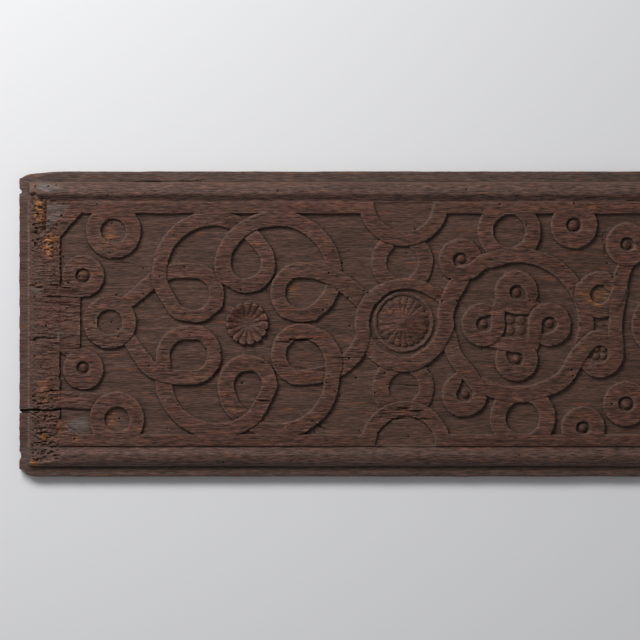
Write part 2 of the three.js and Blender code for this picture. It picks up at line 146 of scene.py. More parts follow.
def smooth_line(stations, closed=False, parts=5):
    """Points along a smooth curve through the stations."""
    knots = np.array(stations, float)
    count = len(knots)
    line = []
    for i in range(count if closed else count - 1):
        before = knots[(i - 1) % count] if closed or i else knots[0]
        here, after = knots[i], knots[(i + 1) % count]
        beyond = knots[(i + 2) % count] if closed or i + 2 < count else knots[-1]
        for t in np.arange(parts) / parts:
            point = 0.5 * (2 * here + (after - before) * t
                           + (2 * before - 5 * here + 4 * after - beyond) * t ** 2
                           + (3 * here - before - 3 * after + beyond) * t ** 3)
            point[2:] = here[2:] + (after[2:] - here[2:]) * t
            line.append(point)
    line.append(knots[0] if closed else knots[-1])
    return np.array(line)


def lay_strap(line, closed=False):
    """Leaves one run of strap standing, with a fine cut along its edge where it passes over other wood."""
    x0, x1 = line[:, 0].min() - 16, line[:, 0].max() + 16
    y0, y1 = line[:, 1].min() - 16, line[:, 1].max() + 16
    columns = slice(*np.searchsorted(field_x, (x0, x1)))
    rows = slice(*np.searchsorted(field_y, (y0, y1)))
    x, y = wobbly_x[rows, columns], wobbly_y[rows, columns]
    gap = np.full(x.shape, 99.0)
    sink = np.zeros(x.shape)
    beside = np.zeros(x.shape)
    last = len(line) - 2
    for i, (a, b) in enumerate(zip(line[:-1], line[1:])):
        reach = max(a[2], b[2]) + 5
        i0, i1 = np.searchsorted(field_x[columns], (min(a[0], b[0]) - reach, max(a[0], b[0]) + reach))
        j0, j1 = np.searchsorted(field_y[rows], (min(a[1], b[1]) - reach, max(a[1], b[1]) + reach))
        if i0 == i1 or j0 == j1:
            continue
        near_x, near_y = x[j0:j1, i0:i1], y[j0:j1, i0:i1]
        along_x, along_y = b[0] - a[0], b[1] - a[1]
        along = ((near_x - a[0]) * along_x + (near_y - a[1]) * along_y) / (along_x ** 2 + along_y ** 2 + 1e-9)
        t = np.clip(along, 0, 1)
        distance = np.hypot(near_x - a[0] - t * along_x, near_y - a[1] - t * along_y)
        distance -= a[2] + (b[2] - a[2]) * t
        closer = distance < gap[j0:j1, i0:i1]
        past_end = (((along < 0) & (i == 0)) | ((along > 1) & (i == last))) & (not closed)
        gap[j0:j1, i0:i1][closer] = distance[closer]
        sink[j0:j1, i0:i1][closer] = (a[3] + (b[3] - a[3]) * t)[closer]
        beside[j0:j1, i0:i1][closer] = (~past_end)[closer]
    gap += broken_edge[rows, columns]
    wall = 1 - ease(-WALL, WALL, gap)
    top = STRAP_LEVEL - sink - 0.2 * ease(-0.9, 0.4, gap) + strap_skin[rows, columns]
    ground = levels[rows, columns]
    raised = GROUND_LEVEL + (top - GROUND_LEVEL) * wall
    cut = (1 - ease(0.3, 1.1, np.abs(gap - 0.6))) * beside * (1 - np.clip(sink / UNDER, 0, 1))
    cut *= ease(STRAP_LEVEL - 3.5, STRAP_LEVEL - 1, ground)
    levels[rows, columns] = np.where(wall > 0, np.maximum(ground, raised), ground) - EDGE_CUT * cut


def straps(*runs):
    """Straps given as runs of stations; a run starts at the last station of the one before."""
    stations = [station for run in runs for station in run]
    parts = 5
    line = smooth_line(stations, parts=parts)
    first = 0
    for run in runs:
        last = first + len(run)
        start = max(first - 1, 0) * parts
        lay_strap(line[start:(last - 1) * parts + 1])
        first = last


def ring(x, y, radius, half=STRAP_HALF):
    lay_strap(smooth_line(bend(x, y, radius, 0, 360, half)[:-1], closed=True), closed=True)


# Left roundel: two straps, each weaving through three loops around the small rosette.
straps(
    mark(-266, 27.5, 9, 1) + mark(-236, 53.3) + mark(-219, 63.7, sink=UNDER)
    + mark(-200, 69, sink=1) + bend(-180.5, 38.5, 31, 80, -20) + bend(-180.5, 38.5, 29.3, -40, -60, 9),
    bend(-180.5, 38.5, 28.3, -85, -110, 8.4) + bend(-180.5, 38.5, 30, -130, -150, 9.3)
    + bend(-154, 67.5, 69.5, 195, 82),
    bend(-154, 67.5, 69.5, 66, 50, sink=UNDER) + mark(-96.5, 108, sink=0.5) + mark(-86.3, 94)
    + bend(-110.5, 78, 28, 10, -85),
    bend(-110.5, 78, 29, -105, -130, 9.3) + bend(-110.5, 78, 31, -150, -190, 11.5)
    + bend(-71, 62.5, 75, 152, 30),
    bend(-71, 62.5, 75, 15, -4, sink=UNDER) + mark(-0.6, 41.6) + mark(-10.2, 26.8) + bend(-39.5, 40, 29.5, -58, -62)
    + bend(-39.5, 40, 28.6, -80, -105, 8.8) + bend(-39.5, 40, 30.2, -130, -180),
    bend(-39.5, 40, 30.5, -205, -275) + mark(-17.5, 68.2, 11.3) + mark(5.2, 59.2, 11.5)
    + mark(20.2, 49.4, 12) + mark(33, 38, 12, 1) + mark(45, 27.5, 12, UNDER),
)
straps(
    mark(153, 24.5, 8, UNDER) + mark(137.5, 40, 7.5, 1) + bend(96.9, -7.2, 60, 50, 112, 7)
    + bend(92.5, -2, 53.5, 135, 195, 9.5) + mark(29.3, -40.3, 11.5) + mark(5, -60.5, 11, UNDER)
    + mark(-14, -66, 10.5, UNDER) + bend(-38.5, -39.5, 30.5, -100, -180),
    bend(-38.5, -39.5, 30.5, -205, -300) + mark(-10.4, -20.2, 11) + mark(-0.6, -34.5, 11.7)
    + mark(3.3, -52, 12) + bend(-70, -68, 71, 0, -75),
    bend(-70, -68, 71, -92, -110, sink=UNDER) + mark(-124.2, -113.1, 11.5)
    + mark(-134, -97, 12) + bend(-109, -78.5, 28.5, 185, 100, 11),
    bend(-109, -78.5, 28.5, 75, -10) + bend(-149, -69, 70, -45, -150),
    bend(-149, -69, 70, -165, -182, 11, UNDER) + mark(-218.5, -53, 9.7, 1)
    + bend(-187.9, -42.9, 31.9, 172, 100, 9.2) + bend(-182, -39.7, 29.6, 75, 60, 9.2),
    bend(-182, -39.7, 29.6, 35, -95, 9.4) + mark(-199, -69) + mark(-217, -66.8, 9.7)
    + mark(-233.5, -59.8) + mark(-244, -48, 11) + mark(-262, -21, 9, 1.2),
)

# Middle strip: the big rosette's ring, a smaller ring above and below, half discs at the fillets.
HALF_DISC_TOP = (94, 160)
HALF_DISC_BOTTOM = (96, -160)
HALF_DISC_RADIUS = 39.0
HALF_DISC_LEVEL = 21.0
straps(bend(91.5, 80.5, 30, 130, 238, sink=UNDER))
straps(bend(91.5, 80.5, 31, 50, -55, sink=UNDER))
straps(bend(94, -83, 30.3, 122, 232, 11.2, UNDER))
straps(bend(94, -83, 29.5, 58, -50, sink=UNDER))
straps(
    mark(172, 66.5, 12, UNDER) + mark(162.5, 49.4, 12) + mark(154, 33.8, 11.5)
    + bend(94, 2, 55, 12, -5, 11) + bend(94, 2, 52.6, -25, -55, 9.6) + bend(94, 2, 54.5, -75, -110, 10)
    + bend(94, 2, 55, -132, -152, sink=UNDER)
)
straps(bend(*HALF_DISC_TOP, 49, 190, 350))
straps(bend(*HALF_DISC_BOTTOM, 49.8, 170, 10))

# Right roundel: a ring whose ends curl into volutes, with four studded volutes inside.
ring(231, 121, 31, 10.2)
ring(248.3, -122, 32.2, 10.7)
RING = (241, -0.5, 90)
straps(
    bend(167.7, 83.2, 18.9, -5, 25, 9.7, UNDER) + bend(167.7, 83.2, 18.9, 55, 255, 9.7),
    mark(172, 65, 9.7) + mark(184.5, 70.8, 9.7) + mark(196.5, 80.3, 9.7) + bend(*RING, 111, 12)
    + bend(*RING, -2, -16, 11, UNDER),
)
straps(
    bend(*RING, 190, 199, 11, UNDER) + bend(*RING, 209, 226, 10.5) + bend(173.5, -91, 19.5, 30, -80, 9.5),
    bend(172.8, -91.4, 20, -110, -215, 10) + mark(164.5, -69, 6.5, UNDER),
)
straps(
    mark(193, -78, 9, UNDER) + bend(241, -0.5, 91, 247, 290, 10.5) + bend(241, -0.5, 92.6, 303, 313, 11)
    + mark(321.8, -39.2, 11) + bend(349, -39, 21, 120, 20),
    bend(349, -39, 21, -5, -110) + mark(333.5, -54, 9, UNDER),
)
VOLUTES = [(240.5, 41, 0), (197.5, -0.5, 90), (240, -45.5, 180), (283, -0.6, 270)]
for volute_x, volute_y, turn in VOLUTES:
    path = (mark(31, -22.7, 8, UNDER) + mark(18.5, -20, 9, 0.8) + bend(0, 0, 19, -80, -335, 9.7)
            + mark(20, -2.5, 8, 0.8) + mark(18.5, -11.5, 6, UNDER))
    cosine, sine = math.cos(math.radians(turn)), math.sin(math.radians(turn))
    placed = [(volute_x + x * cosine - y * sine, volute_y + x * sine + y * cosine, half, sink)
              for x, y, half, sink in path]
    middle = math.ceil(len(placed) / 2)
    straps(placed[:middle], placed[middle:])

# Right-hand strip: lobes, rings and the start of the next roundel, cut off by the sawn end.
straps(
    mark(384, 80.5, sink=UNDER) + mark(377, 63.7) + mark(374, 44) + bend(349, 38.5, 21.5, -20, -150, 9.7),
    bend(349, 38.5, 22.5, -175, -200, 10.5) + bend(349, 38.5, 21.5, -220, -290, 9.2) + mark(363, 48, 6, UNDER),
)
straps(mark(376.5, 44, sink=UNDER) + mark(369, 5, 9) + mark(371, -34, sink=UNDER))
ring(384.5, 103.5, 18.5)
ring(382.3, -104, 19.3)
ring(431, -1.5, 32, 9.5)

# Lobes that grow out of the fillets, and the worn rings and lobes of the left border.
ring(315, 128.5, 19.5, 11)
ring(327, -135, 18.5)
ring(-323, 62.5, 17.5)
ring(-323, -58.5, 17)
straps(mark(-342, 36, 16.5, 0.5) + mark(-342, -26, 15.5, 0.8))
straps(mark(-352, -98, 11, 1.1) + mark(-308, -100, 11, 1.1))
ring(-283.5, 121, 26)
ring(-288.5, 2.5, 25.5, 9.2)
ring(-279, -124, 26)
straps(mark(-370, 105.5, 8.8) + mark(-324, 158.8, 8.8))
straps(mark(-379, -114.5, 8) + mark(-322, -158.5, 9))

# The fillets: the flat margin of the field, at the level of the straps, with a half disc sunk in each.
FILLET_OUTER = 40.5
FILLET_INNER = 55.5
LEFT_FILLET_END = 54.0
fillet = np.maximum(1 - ease(-WALL, WALL, inward + 0.5 * grain_noise(30, 8, 8) - FILLET_INNER),
                    1 - ease(-WALL, WALL, from_left + 1.2 * grain_noise(12, 3, 9) - LEFT_FILLET_END))
levels = np.maximum(levels, GROUND_LEVEL + (STRAP_LEVEL + strap_skin - GROUND_LEVEL) * fillet)
for (disc_x, disc_y) in (HALF_DISC_TOP, HALF_DISC_BOTTOM):
    gap = np.hypot(wobbly_x - disc_x, wobbly_y - disc_y) - HALF_DISC_RADIUS
    floor_level = HALF_DISC_LEVEL + 0.2 * grain_noise(14, 4, 10)
    levels = np.where(gap < WALL, floor_level + (levels - floor_level) * ease(-WALL, WALL, gap), levels)

# Studs: small domes left standing in round hollows that are cut down to the ground.
SMALL_STUD = (5.6, 8.2)
LARGE_STUD = (7.3, 9.6)
STUDS = [(168.5, 84.5, SMALL_STUD), (173.5, -91, SMALL_STUD), (240.5, 41, SMALL_STUD),
         (197.5, 0.5, SMALL_STUD), (240, -45.5, SMALL_STUD), (283, 0.5, SMALL_STUD),
         (327, -135, SMALL_STUD), (384, 103.5, SMALL_STUD), (315, 128.5, LARGE_STUD),
         (383.5, -104, LARGE_STUD), (-323, 62.5, LARGE_STUD), (-323, -57, SMALL_STUD)]
for stud_x, stud_y, (dome, hollow) in STUDS:
    gap = np.hypot(X - stud_x, Y - stud_y)
    sunk = GROUND_LEVEL + (levels - GROUND_LEVEL) * ease(hollow - 0.9, hollow + 0.7, gap)
    levels = np.where(gap < hollow + 0.7, np.minimum(levels, sunk), levels)
    domed = GROUND_LEVEL + 4.8 * np.sqrt(np.clip(1 - (gap / dome) ** 2, 0, 1))
    levels = np.where(gap < dome, np.maximum(levels, domed), levels)


# Rosettes: the small one is dished and the big one swells, with rounded petals parted by deep cuts.
def rosette(x, y, radius, petals, turn, rim_level, middle_level, petal_swell):
    global levels
    gap = np.hypot(X - x, Y - y)
    angle = np.arctan2(Y - y, X - x) + turn + 0.06 * grain_noise(14, 14, 11)
    petal = np.abs(np.cos(petals * angle / 2))
    outward = np.clip(gap / radius, 0, 1)
    wall = 1 - ease(-0.8, 0.8, gap - radius * (1 - 0.12 * (1 - petal) ** 2) + 0.5 * broken_edge)
    top = middle_level + (rim_level - middle_level) * outward ** 1.5
    top = top + petal_swell * (petal ** 0.6 - 1) * ease(0.12, 0.6, outward)
    top = top - 0.8 * ease(0.93, 1.0, outward)
    top = top + 0.9 * np.sqrt(np.clip(1 - (gap / (0.12 * radius)) ** 2, 0, 1))
    levels = np.where(gap < radius + 1, np.maximum(levels, GROUND_LEVEL + (top - GROUND_LEVEL) * wall), levels)


rosette(-109.5, 0.5, 27.8, 15, 0.1, 26.8, 19.8, 2.6)
rosette(94, 2.5, 32.3, 20, 0.0, 21.8, 25.0, 1.6)
rim_gap = np.abs(np.hypot(X - 94, Y - 2.5) - 37.3)
levels = np.maximum(levels, GROUND_LEVEL + 2.6 * (1 - ease(1.6, 2.6, rim_gap + 0.9 * grain_noise(8, 3, 12))))

# Quartered flowers: four small petals in the middle of a recess.
for flower_x, flower_y, spread in ((239, -1.5, 6.8), (349, -37, 4.6)):
    for side_x in (-1, 1):
        for side_y in (-1, 1):
            gap = np.hypot(X - flower_x - side_x * spread, Y - flower_y - side_y * spread) / (spread * 0.95)
            levels = np.maximum(levels, GROUND_LEVEL + 2.8 * np.sqrt(np.clip(1 - gap ** 2, 0, 1)))

# The mouldings, planed along the long edges: tongue, convex roll up to a ridge, steep fall, quirk.
RIDGE = 30.0
QUIRK = 39.0
QUIRK_LEVEL = 21.5
ROLL_FOOT_LEVEL = 17.0
wandering = inward + 0.35 * grain_noise(60, 12, 13)
roll = np.clip((RIDGE - wandering) / (RIDGE - TONGUE_WIDTH - 0.3), 0, 1)
rolled = ROLL_FOOT_LEVEL + (THICKNESS - 0.25 - ROLL_FOOT_LEVEL) * np.sqrt(1 - roll ** 2)
fall = np.interp(wandering, [RIDGE, RIDGE + 1.6, QUIRK - 1.5, QUIRK, QUIRK + 0.9, FILLET_OUTER + 0.4],
                 [THICKNESS - 0.25, THICKNESS - 0.9, QUIRK_LEVEL + 0.9, QUIRK_LEVEL, QUIRK_LEVEL + 1, STRAP_LEVEL])
moulding = np.where(wandering < RIDGE, rolled, fall)
tongue = TONGUE_LEVEL + 0.25 * grain_noise(40, 6, 14)
moulding = tongue + (moulding - tongue) * ease(-0.5, 0.5, wandering - TONGUE_WIDTH)
levels = np.where(wandering < FILLET_OUTER + 0.4, moulding, levels)

# The left end: the moulding that once ran down it has crumbled away to loose fibres and pits,
# between the smooth tongue and the field; the top roll is still whole, the bottom one lost its shoulder.
top_whole_to = np.interp(from_left, [14, 30, 40, 56, 62], [26, 32, 37, 39, 60])
bottom_whole_to = np.interp(from_left, [14, 36, 54, 64], [17, 18, 22, 60])
crumbled = inward + 2.2 * grain_noise(6, 3, 15) - np.where(Y > 0, top_whole_to, bottom_whole_to)
crumbled = ease(0, 3, crumbled) * (1 - ease(52, 58, from_left))
rotted_level = np.interp(from_left, [14, 17, 24, 34, 40, 52, 58], [16.6, 19.2, 21.4, 22.8, 23.6, 24.4, 25.5])
rotted_level = rotted_level + 2.2 * ease(118, 128, Y) * ease(36, 30, from_left)
levels = levels - crumbled * np.maximum(0, levels - rotted_level)
pitted = ease(14, 19, from_left) * (1 - ease(46, 60, from_left)) * crumbled
corners = np.maximum(ease(75, 100, Y) * (1 - ease(168, 176, Y)), ease(-75, -95, Y))
pits = ease(0.12, 0.55, grain_noise(4.2, 2.3, 16)) + ease(0.3, 0.7, grain_noise(2.6, 2.0, 17))
levels = levels - pitted * (0.45 + 0.95 * corners) * pits * 1.7

POCKET = (-371, -344, 128, 157)
across_strap = 0.76 * (X - POCKET[0]) - 0.65 * (Y - POCKET[2])
in_pocket = (ease(POCKET[0], POCKET[0] + 1, X) * ease(POCKET[3], POCKET[3] - 1.5, Y)
             * (1 - ease(-1, 0.5, across_strap - 6.3 + 0.6 * grain_noise(9, 3, 18))))
levels = levels + in_pocket * (22.3 + 0.15 * grain_noise(12, 4, 19) - levels)
pocket_side = (1 - ease(0.5, 1.5, np.abs(X - POCKET[0]))) * ease(134, 137, Y) * (1 - ease(158, 162, Y))
levels = levels - 2.5 * pocket_side

tongue_end = TONGUE_LENGTH - 1.5 + 1.2 * grain_noise(9, 5, 20)
tongue_end = np.where(inward < 30, TONGUE_LENGTH - 2, tongue_end)
end_foot = ease(-1.6, 1.6, from_left - tongue_end)
levels = np.where(from_left < TONGUE_LENGTH + 4, tongue + (levels - tongue) * end_foot, levels)
ridge_line = 0.7 * (1 - ease(0.6, 2.6, np.abs(from_left - 12.5))) * (inward > TONGUE_WIDTH)
levels = levels + ridge_line

# Age: fissures along the grain, beetle galleries, flight holes and one split through the left tongue.
eroded = 0.12 + 0.6 * (1 - ease(60, 110, from_left)) * (1 - ease(140, 165, np.abs(Y)))
WORN_PLACES = [(-350, 10, 45, 62), (-345, -65, 45, 46), (-300, 42, 46, 13), (-105, -95, 56, 26),
               (30, -60, 55, 34), (-30, -22, 55, 18), (90, -115, 45, 14), (-185, -55, 60, 26),
               (-20, -135, 45, 18), (-283, 90, 30, 12), (-295, -30, 36, 16), (45, 60, 30, 18),
               (-200, 30, 40, 22), (-110, 50, 36, 14), (310, 70, 30, 10), (320, -62, 26, 14)]
for worn_x, worn_y, half_length, half_width in WORN_PLACES:
    reach = np.hypot((X - worn_x) / half_length, (Y - worn_y) / half_width)
    eroded = eroded + 0.6 * (1 - ease(0.3, 1.15, reach + 0.25 * grain_noise(18, 6, 35)))
eroded = np.clip(eroded, 0, 1.15) * ease(15, 19, from_left) * ease(QUIRK - 2, QUIRK + 2, inward)
eroded = np.maximum(eroded, 0.22 * ease(TONGUE_WIDTH, TONGUE_WIDTH + 3, inward))
standing = ease(GROUND_LEVEL + 0.8, STRAP_LEVEL - 2, levels)
waving_y = Y + 1.5 * grain_noise(40, 30, 21)
torn = 0.55 - 0.5 * eroded
fissure = 1.0 * ease(torn, torn + 0.35, grain_noise(26, 1.7, 22, X, waving_y))
fissure = np.maximum(fissure, ease(torn + 0.1, torn + 0.4, grain_noise(11, 1.4, 23)))
fissure = np.maximum(fissure, 1.3 * ease(torn + 0.15, torn + 0.5, grain_noise(17, 2.6, 36, X, waving_y)))
patchy = ease(-0.5, 0.4, grain_noise(45, 16, 24))
levels = levels - 1.5 * fissure * np.clip(eroded + 0.15, 0, 1) * (0.35 + 0.65 * patchy) * (0.3 + 0.7 * standing)

GALLERIES = [
    ((-275, 185.2), (-170, 185.2), 0.8, 2.5), ((-98, -98), (-80, -100), 1.2, 3), ((-77, -23), (-54, -24), 1.0, 2.5),
    ((-54, -21), (-25, -20), 1.4, 3), ((-90, -50), (-45, -58), 1.2, 3), ((-45, -58), (-2, -62), 1.0, 2.5),
    ((-8, -75), (11, -94), 1.1, 2.5), ((-28, -124), (-8, -138), 1.0, 2.5), ((29, -18), (70, -20), 1.0, 2.5),
    ((85, -110), (101, -111), 1.6, 3.5), ((82, -113), (128, -112), 0.9, 2.5), ((63, -122), (128, -124), 0.9, 2.5),
    ((72, -79), (115, -80), 0.8, 2), ((341, 4), (358, -2), 1.2, 2.0), ((353, 116), (357, 90), 1.0, 1.5),
    ((353, -100), (357, -118), 1.0, 1.5), ((-344, 20.5), (-336, 19), 1.7, 3.5), ((-407, -112.5), (-353, -112), 1.3, 7),
    ((-353, -112), (-325, -111), 0.7, 2.5), ((-365, 52), (-340, 46), 1.0, 2.2), ((-391, 49.5), (-375, 47.5), 1.5, 3),
    ((-375, 35), (-330, 34), 1.0, 2.5), ((-385, -19), (-358, -18), 1.2, 3), ((-391, -22), (-384, -22), 1.4, 3),
    ((-372, -88), (-336, -86), 1.1, 3), ((-304, -93), (-265, -93), 1.6, 1.5), ((-384, 124), (-359, 123.5), 1.5, 3.5),
    ((-383, -142.5), (-362, -142), 1.2, 3), ((-286, 81), (-262, 78), 0.9, 1.6), ((-308, -117), (-286, -117), 0.9, 2),
]
for (start_x, start_y), (end_x, end_y), half, depth in GALLERIES:
    along_x, along_y = end_x - start_x, end_y - start_y
    bent_y = Y + 1.0 * grain_noise(9, 9, 25)
    t = ((X - start_x) * along_x + (bent_y - start_y) * along_y) / (along_x ** 2 + along_y ** 2)
    t = np.clip(t, 0, 1)
    gap = np.hypot(X - start_x - t * along_x, bent_y - start_y - t * along_y)
    width = half * (0.75 + 0.6 * grain_noise(7, 2.5, 26)) + 0.5 * grain_noise(12, 1.6, 37)
    width = np.where(depth > 4, half, width)
    open_here = 0.25 + 0.75 * ease(-0.45, 0.0, grain_noise(13, 2.5, 38))
    levels = levels - depth * np.where(depth > 4, 1, open_here) * (1 - ease(-0.5, 0.6, gap - width))

KNOWN_HOLES = [
    (47.5, 40.3), (42.3, 42.9), (21.5, 33.8), (13.7, 79.3), (-3.3, 66.3), (143.7, 29.9), (163.2, 29.9), (125.5, -59.8),
    (128, -62.4), (69.6, -63.7), (56.6, -89.7), (-116.4, -76.7), (-163.2, -32.5), (364.7, -104), (271, 28.6),
    (-117.7, 44.2), (219, 156), (315.3, 157.3), (312.7, -59.8), (314, -67.6), (315.3, -72.8), (154.1, 58.5),
    (22.8, -44.2), (31.9, -70.2), (-11, 18.2), (-276, -123), (-371, -2.5), (-342, 53.5), (-381, 142.5),
    (-351, 141), (-334, -149),
]
hole_rng = np.random.default_rng(27)
holes = [(x, y, 1.1) for x, y in KNOWN_HOLES]
for _ in range(120):
    x = -HALF_LENGTH + 20 + (2 * HALF_LENGTH - 26) * hole_rng.uniform() ** 2.0
    y = hole_rng.uniform(-HALF_WIDTH + 18, HALF_WIDTH - 18)
    holes.append((x, y, hole_rng.uniform(0.5, 0.9)))
# the holes are also marked to be painted near black, a painted shade for the dark inside them
hole_shade = np.zeros(X.shape)
for hole_x, hole_y, radius in holes:
    columns = slice(*np.searchsorted(field_x, (hole_x - 4, hole_x + 4)))
    rows = slice(*np.searchsorted(field_y, (hole_y - 4, hole_y + 4)))
    gap = np.hypot(X[rows, columns] - hole_x, Y[rows, columns] - hole_y)
    bored = 1 - ease(-0.45, 0.45, gap - radius)
    levels[rows, columns] -= 3.0 * bored
    hole_shade[rows, columns] = np.maximum(hole_shade[rows, columns], bored)
levels = np.clip(levels, 5, THICKNESS)

# Wear and painted light: pale rubbed arrises, painted highlight on the steep walls, painted shade in the hollows and
# flight holes, crumbling orange wood, greyed wood.
near = softened(levels, 0.65)
arris_wear_and_highlight = np.clip((levels - near - 0.25) / 0.7, 0, 1)
# painted shade: the hollows and the feet of the walls are darkened
crease_shade = np.clip((near - levels - 0.30) / 0.9, 0, 1)
slope_y, slope_x = np.gradient(levels, FIELD_STEP)
# painted highlight: every steep wall is tinted pale, so the walls facing the light read as bright lines; the convex
# arrises are paler from real rubbing
wall_highlight = ease(0.9, 2.6, np.hypot(slope_x, slope_y)) * (1 - ease(0.3, 0.8, eroded))
arris_wear_and_highlight = np.maximum(arris_wear_and_highlight, 0.8 * wall_highlight)
strap = ease(GROUND_LEVEL + 1.5, GROUND_LEVEL + 3.5, softened(levels, 0.65))
CRUMBLED_PLACES = [(-380, 146, 8.5, 18, 1.0), (-366, 103, 10, 16, 1.0), (-375, -147, 7, 6, 1.0),
                   (-385.5, -178, 6, 6, 1.0), (-333.5, -150, 6, 5, 0.7), (-385, 181, 7, 2.5, 0.9),
                   (-396, 193.5, 9, 2.2, 0.9), (-375, -90, 10, 22, 0.35), (341, 35, 23, 12, 0.45),
                   (-291, 116, 12, 13, 0.4), (-287, -126, 10, 12, 0.35), (-48, 42, 10, 10, 0.3),
                   (-350, -135, 8, 8, 0.4), (-128, -112, 12, 6, 0.25)]
crumble = np.zeros(X.shape)
for place_x, place_y, half_length, half_width, amount in CRUMBLED_PLACES:
    reach = np.hypot((X - place_x) / half_length, (Y - place_y) / half_width)
    crumble = np.maximum(crumble, amount * (1 - ease(0.5, 1.2, reach + 0.3 * grain_noise(7, 5, 28))))
crumble = crumble * ease(-0.7, 0.3, grain_noise(5, 2.2, 29))
greyed = np.maximum(0.30 * ease(QUIRK + 2, QUIRK - 2, inward), 0.8 * in_pocket)
greyed = np.maximum(greyed, 0.9 * (1 - ease(0.8, 2.2, np.abs(from_left - 13))) * (inward > 30))
for place_x, place_y, half_length, half_width, amount in (
        (-370, 178, 26, 9, 1.4), (-330, -132, 18, 12, 0.9), (-383, 43, 8, 4, 1.0), (-355, -12, 12, 7, 0.5)):
    reach = np.hypot((X - place_x) / half_length, (Y - place_y) / half_width)
    greyed = np.maximum(greyed, amount * (1 - ease(0.4, 1.1, reach + 0.25 * grain_noise(9, 4, 30))))
MARKS = {"arris_wear_and_highlight": arris_wear_and_highlight, "crease_shade": crease_shade, "strap": strap, "hole_shade": hole_shade, "crumble": crumble, "greyed": greyed}


# The solid board: a fine grid at the board's size takes the levels, is slit at the split,
# drawn down to the back along its border, thinned where it is flat, and closed with a planed back.
GRID_STEP = 0.85
SPLIT_Y = -115.0
SPLIT_HALF = 1.6
bpy.ops.mesh.primitive_grid_add(
    x_subdivisions=round(2 * HALF_LENGTH / GRID_STEP), y_subdivisions=round(2 * HALF_WIDTH / GRID_STEP),
    size=1, location=(0, 0, 0))
board = bpy.context.active_object
board.name = "oak_board"
flat = np.empty(len(board.data.vertices) * 3)
board.data.vertices.foreach_get("co", flat)
points = flat.reshape(-1, 3)
points[:, 0] *= 2 * HALF_LENGTH
points[:, 1] *= 2 * HALF_WIDTH
grid_x, grid_y = points[:, 0].copy(), points[:, 1].copy()
ragged = 0.4 * grain_noise(7, 7, 31, grid_x, grid_y) + 0.25 * grain_noise(2.5, 2.5, 32, grid_x, grid_y)
left_wear = 0.7 + ragged
for notch_y, notch_half, depth in ((172.5, 4, 3), (-171.5, 7, 2.2)):
    left_wear += depth * (1 - ease(0.2, 1, np.abs(grid_y - notch_y) / notch_half))
left_wear += 5 * ease(HALF_WIDTH - 9, HALF_WIDTH, np.abs(grid_y)) ** 2
near_left = 1 - ease(0, 12, grid_x + HALF_LENGTH)
points[:, 0] = grid_x + left_wear * near_left
edge_wear = 0.35 + 0.35 * grain_noise(25, 9, 33, grid_x, grid_y) + 0.25 * ragged
top_corner = np.interp(grid_x + HALF_LENGTH, [0, 16, 40, 60], [6.5, 3.2, 0.9, 0])
bottom_corner = np.interp(grid_x + HALF_LENGTH, [0, 7, 16, 24], [8, 4, 1, 0])
corner_wear = np.where(grid_y > 0, top_corner, bottom_corner)
near_edge = ease(HALF_WIDTH - 12, HALF_WIDTH, np.abs(grid_y))
points[:, 1] = grid_y - np.sign(grid_y) * (edge_wear + corner_wear) * near_edge
heights = sample(levels, points[:, 0], points[:, 1])
rim = np.minimum(points[:, 0] + HALF_LENGTH, HALF_WIDTH - np.abs(grid_y))
heights -= 1.1 * (1 - ease(0, 1.6, rim))
points[:, 2] = heights
board.data.vertices.foreach_set("co", (points / 1000).ravel())
board.data.update()

mesh = bmesh.new()
mesh.from_mesh(board.data)
mesh.verts.ensure_lookup_table()
split_row = min({round(v.co.y, 6) for v in mesh.verts if v.co.x > 0.1}, key=lambda y: abs(y - SPLIT_Y / 1000))
split_end = (TONGUE_LENGTH - HALF_LENGTH) / 1000
slit = [e for e in mesh.edges
        if all(abs(v.co.y - split_row) < 0.0001 and v.co.x < split_end for v in e.verts)]
bmesh.ops.split_edges(mesh, edges=slit)
for vertex in {v for e in mesh.edges if e.is_boundary for v in e.verts}:
    if abs(vertex.co.y - split_row) < 0.0001 and vertex.co.x < split_end:
        sides = {f.calc_center_median().y > split_row for f in vertex.link_faces}
        if len(sides) == 1:
            along = (vertex.co.x * 1000 + HALF_LENGTH) / TONGUE_LENGTH
            vertex.co.y += (1 if sides.pop() else -1) * SPLIT_HALF * (1 - 0.6 * along) / 1000
WALL_STEPS = 3
border = [e for e in mesh.edges if e.is_boundary]
for step in range(WALL_STEPS):
    drawn = bmesh.ops.extrude_edge_only(mesh, edges=border)["geom"]
    for vertex in [g for g in drawn if isinstance(g, bmesh.types.BMVert)]:
        vertex.co.z *= (WALL_STEPS - 1 - step) / (WALL_STEPS - step)
    border = [g for g in drawn if isinstance(g, bmesh.types.BMEdge) and g.is_boundary]
mesh.to_mesh(board.data)
mesh.free()

TRIANGLES = 190000
present = sum(len(p.vertices) - 2 for p in board.data.polygons)
thinning = board.modifiers.new("thinning", "DECIMATE")
thinning.ratio = min(1, TRIANGLES / present)
bpy.context.view_layer.objects.active = board
bpy.ops.object.modifier_apply(modifier="thinning")

